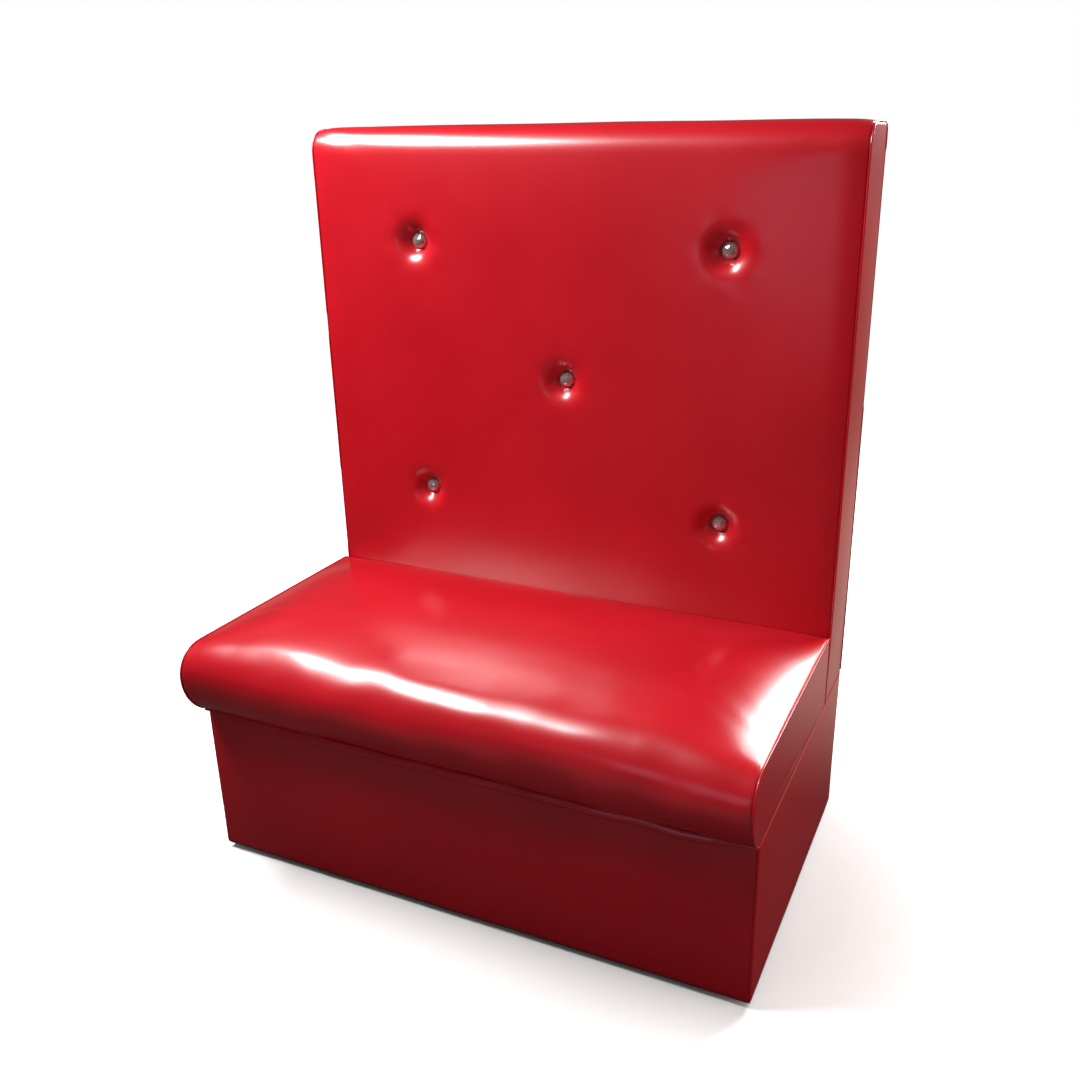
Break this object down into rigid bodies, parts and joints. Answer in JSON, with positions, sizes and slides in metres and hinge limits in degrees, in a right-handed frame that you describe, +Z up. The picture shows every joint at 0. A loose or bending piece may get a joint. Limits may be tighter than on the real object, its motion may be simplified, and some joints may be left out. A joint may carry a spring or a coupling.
{
  "type": "dining booth bench",
  "caption": "One-sided dining booth bench in glossy red leatherette: tall upright back tufted with crystal buttons, bullnose seat and a box base on low glides.",
  "frame": {"origin": "on the floor, at the middle of the footprint's box", "axes": "+Z up, +Y towards the rear lining, so the sitter faces -Y; +X is the right side seen from the front"},
  "size_m": [1.067, 0.67, 1.345],
  "materials": {
    "red_vinyl": "glossy embossed PVC leatherette",
    "foam": "cut polyurethane foam",
    "plywood": "unfinished plywood",
    "timber": "sawn softwood",
    "lining_cloth": "black non-woven cloth",
    "crystal": "clear faceted stone",
    "button_metal": "bright plated sheet",
    "twine": "waxed cord",
    "black_plastic": "moulded",
    "zinc_steel": "zinc plated"
  },
  "bodies": {
    "root": {"back_bottom_rail": "timber", "back_cover": "red_vinyl", "back_foam": "foam", "back_front_board": "plywood", "back_left_padding": "foam", "back_lower_rail": "timber", "back_right_padding": "foam", "back_top_rail": "timber", "back_upper_rail": "timber", "base_centre_divider": "plywood", "base_cover": "red_vinyl", "base_front_board": "plywood", "base_left_board": "plywood", "base_padding": "foam", "base_rear_board": "plywood", "base_right_board": "plywood", "button_crystals": "crystal", "button_cups": "button_metal", "feet": "black_plastic", "foot_screws": "zinc_steel", "front_bearer": "timber", "left_corner_block": "timber", "left_post": "timber", "left_rear_cleat": "timber", "post_bolts": "zinc_steel", "post_nuts": "zinc_steel", "post_washers": "zinc_steel", "rail_screws": "zinc_steel", "rear_bearer": "timber", "rear_lining": "lining_cloth", "right_corner_block": "timber", "right_post": "timber", "right_rear_cleat": "timber", "seat_cover": "red_vinyl", "seat_deck": "plywood", "seat_foam": "foam", "seat_screws": "zinc_steel", "tuft_twines": "twine", "twine_toggles": "timber"}
  },
  "joints": []
}
